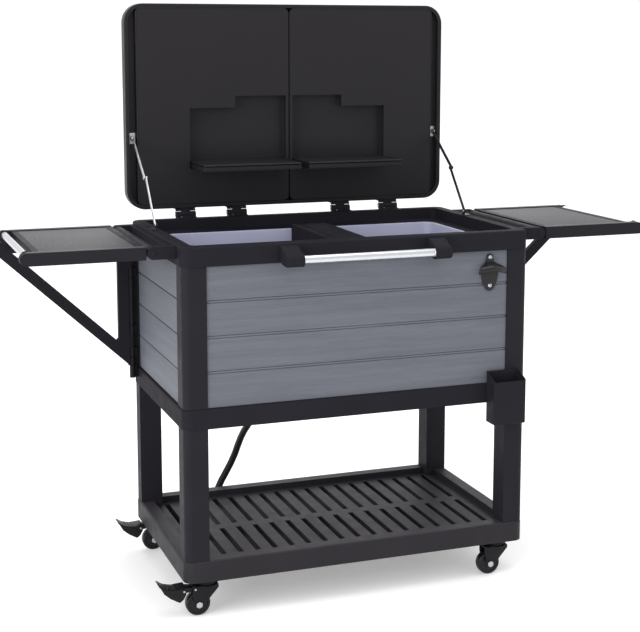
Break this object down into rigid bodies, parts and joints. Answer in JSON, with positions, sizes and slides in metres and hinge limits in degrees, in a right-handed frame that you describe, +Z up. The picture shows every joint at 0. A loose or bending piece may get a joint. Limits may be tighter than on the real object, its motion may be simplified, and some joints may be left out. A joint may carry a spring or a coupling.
{
  "type": "patio cooler cart",
  "caption": "Wheeled patio cooler: plank-clad insulated tub with tip-up lid, fold-down side tables, slatted lower shelf, front handle and swivel casters.",
  "frame": {"origin": "middle of the bounding box's footprint, on the floor under the wheels", "axes": "+X runs to the right along the front, as seen by someone facing the handle; +Y goes to the back, where the lid is hinged; +Z is up"},
  "size_m": [1.35, 0.544, 1.224],
  "materials": {
    "frame_black": "fine grained moulded resin, satin",
    "frame_metal": "black powder coat, satin",
    "plank_slate": "slate grey resin boards with a faint wood grain",
    "tub_grey": "pale blue grey moulded liner, satin",
    "foam": "closed-cell foam",
    "lid_black": "satin black moulded lid",
    "slat_grey": "dark grey moulded slats, matt",
    "table_grey": "mid grey pebbled sheet",
    "steel": "polished along its length",
    "zinc": "zinc plated",
    "cast_black": "black enamelled casting",
    "bin_black": "black moulded plastic",
    "wheel_black": "smooth hard rubber",
    "hose_black": "smooth flexible hose",
    "stay_black": "black coated strap"
  },
  "bodies": {
    "cart": {"slat_shelf": "slat_grey", "lower_posts": "frame_metal", "lower_rail": "frame_black", "base_pan": "frame_black", "upper_posts": "frame_metal", "front_planks": "plank_slate", "rear_planks": "plank_slate", "left_planks": "plank_slate", "right_planks": "plank_slate", "insulation": "foam", "ice_tub": "tub_grey", "tub_divider": "frame_black", "top_rim": "frame_black", "handle_brackets": "frame_black", "handle_bar": "steel", "bottle_opener": "cast_black", "opener_screws": "zinc", "cap_bin": "bin_black", "drain_fitting": "frame_black", "drain_nut": "frame_black", "drain_hose": "hose_black", "caster_plates": "frame_metal", "rim_hinges": "frame_metal", "hinge_pins": "zinc", "rim_stay_anchors": "zinc", "table_mounts": "frame_black", "side_pins": "zinc", "bracket_hinges": "frame_metal"},
    "lid": {"lid_hinges": "frame_metal", "lid_shell": "lid_black", "lid_panels": "lid_black", "lid_stay_anchors": "zinc"},
    "left_lid_shelf": {"lid_shelf_left": "lid_black"},
    "right_lid_shelf": {"lid_shelf_right": "lid_black"},
    "left_lower_stay": {"stay_lower_left": "zinc"},
    "left_upper_stay": {"stay_upper_left": "zinc"},
    "right_lower_stay": {"stay_lower_right": "stay_black"},
    "right_upper_stay": {"stay_upper_right": "stay_black"},
    "left_table": {"table_frame_left": "frame_metal", "table_top_left": "table_grey", "table_grip_left": "steel"},
    "right_table": {"table_frame_right": "frame_metal", "table_top_right": "table_grey", "table_grip_right": "steel"},
    "left_bracket": {"bracket_left": "frame_metal"},
    "right_bracket": {"bracket_right": "frame_metal"},
    "caster_fl": {"caster_fork_fl": "frame_metal", "caster_axle_fl": "zinc"},
    "wheel_fl": {"caster_wheel_fl": "wheel_black"},
    "caster_fr": {"caster_fork_fr": "frame_metal", "caster_axle_fr": "zinc"},
    "wheel_fr": {"caster_wheel_fr": "wheel_black"},
    "caster_rl": {"caster_fork_rl": "frame_metal", "caster_axle_rl": "zinc"},
    "wheel_rl": {"caster_wheel_rl": "wheel_black"},
    "caster_rr": {"caster_fork_rr": "frame_metal", "caster_axle_rr": "zinc"},
    "wheel_rr": {"caster_wheel_rr": "wheel_black"},
    "brake_fl": {"brake_pedal_fl": "frame_metal"},
    "brake_rl": {"brake_pedal_rl": "frame_metal"}
  },
  "joints": [
    {"name": "lid_hinge", "type": "hinge", "parent": "cart", "child": "lid", "pos_m": [0, 0.2425, 0.757], "axis": [1, 0, 0], "range_deg": [0, 90]},
    {"name": "left_lid_shelf_pivot", "type": "hinge", "parent": "lid", "child": "left_lid_shelf", "pos_m": [-0.12, 0.2465, 0.868], "axis": [1, 0, 0], "range_deg": [-90, 0]},
    {"name": "right_lid_shelf_pivot", "type": "hinge", "parent": "lid", "child": "right_lid_shelf", "pos_m": [0.12, 0.2465, 0.868], "axis": [1, 0, 0], "range_deg": [-90, 0]},
    {"name": "left_stay_rim_pivot", "type": "hinge", "parent": "cart", "child": "left_lower_stay", "pos_m": [-0.3593, 0.0585, 0.759], "axis": [1, 0, 0], "range_deg": [0, 130.2]},
    {"name": "left_stay_lid_pivot", "type": "hinge", "parent": "lid", "child": "left_upper_stay", "pos_m": [-0.3625, 0.2445, 0.929], "axis": [1, 0, 0], "range_deg": [-125.8, 0]},
    {"name": "right_stay_rim_pivot", "type": "hinge", "parent": "cart", "child": "right_lower_stay", "pos_m": [0.3593, 0.0585, 0.759], "axis": [1, 0, 0], "range_deg": [0, 130.2]},
    {"name": "right_stay_lid_pivot", "type": "hinge", "parent": "lid", "child": "right_upper_stay", "pos_m": [0.3625, 0.2445, 0.929], "axis": [1, 0, 0], "range_deg": [-125.8, 0]},
    {"name": "left_table_pivot", "type": "hinge", "parent": "cart", "child": "left_table", "pos_m": [-0.42, -0.0125, 0.7375], "axis": [0, 1, 0], "range_deg": [-90, 0]},
    {"name": "right_table_pivot", "type": "hinge", "parent": "cart", "child": "right_table", "pos_m": [0.42, -0.0125, 0.7375], "axis": [0, 1, 0], "range_deg": [0, 90]},
    {"name": "left_bracket_hinge", "type": "hinge", "parent": "cart", "child": "left_bracket", "pos_m": [-0.388, 0.1765, 0.582], "axis": [0, 0, 1], "range_deg": [0, 90]},
    {"name": "right_bracket_hinge", "type": "hinge", "parent": "cart", "child": "right_bracket", "pos_m": [0.388, 0.1765, 0.582], "axis": [0, 0, 1], "range_deg": [-90, 0]},
    {"name": "swivel_fl", "type": "hinge", "parent": "cart", "child": "caster_fl", "pos_m": [-0.324, -0.1935, 0.06], "axis": [0, 0, 1], "continuous": true},
    {"name": "spin_fl", "type": "hinge", "parent": "caster_fl", "child": "wheel_fl", "pos_m": [-0.344, -0.1935, 0.025], "axis": [0, 1, 0], "continuous": true},
    {"name": "swivel_fr", "type": "hinge", "parent": "cart", "child": "caster_fr", "pos_m": [0.324, -0.1935, 0.06], "axis": [0, 0, 1], "continuous": true},
    {"name": "spin_fr", "type": "hinge", "parent": "caster_fr", "child": "wheel_fr", "pos_m": [0.304, -0.1935, 0.025], "axis": [0, 1, 0], "continuous": true},
    {"name": "swivel_rl", "type": "hinge", "parent": "cart", "child": "caster_rl", "pos_m": [-0.324, 0.1965, 0.06], "axis": [0, 0, 1], "continuous": true},
    {"name": "spin_rl", "type": "hinge", "parent": "caster_rl", "child": "wheel_rl", "pos_m": [-0.344, 0.1965, 0.025], "axis": [0, 1, 0], "continuous": true},
    {"name": "swivel_rr", "type": "hinge", "parent": "cart", "child": "caster_rr", "pos_m": [0.324, 0.1965, 0.06], "axis": [0, 0, 1], "continuous": true},
    {"name": "spin_rr", "type": "hinge", "parent": "caster_rr", "child": "wheel_rr", "pos_m": [0.304, 0.1965, 0.025], "axis": [0, 1, 0], "continuous": true},
    {"name": "brake_pivot_fl", "type": "hinge", "parent": "caster_fl", "child": "brake_fl", "pos_m": [-0.35, -0.1935, 0.057], "axis": [0, 1, 0], "range_deg": [-12, 0]},
    {"name": "brake_pivot_rl", "type": "hinge", "parent": "caster_rl", "child": "brake_rl", "pos_m": [-0.35, 0.1965, 0.057], "axis": [0, 1, 0], "range_deg": [-12, 0]}
  ],
  "couplings": [
    {"joint": "left_lid_shelf_pivot", "follows": "lid_hinge", "ratio": -1},
    {"joint": "right_lid_shelf_pivot", "follows": "lid_hinge", "ratio": -1},
    {"joint": "left_stay_rim_pivot", "follows": "lid_hinge", "ratio": 1.4448},
    {"joint": "left_stay_lid_pivot", "follows": "lid_hinge", "ratio": -1.3952},
    {"joint": "right_stay_rim_pivot", "follows": "lid_hinge", "ratio": 1.4448},
    {"joint": "right_stay_lid_pivot", "follows": "lid_hinge", "ratio": -1.3952}
  ]
}
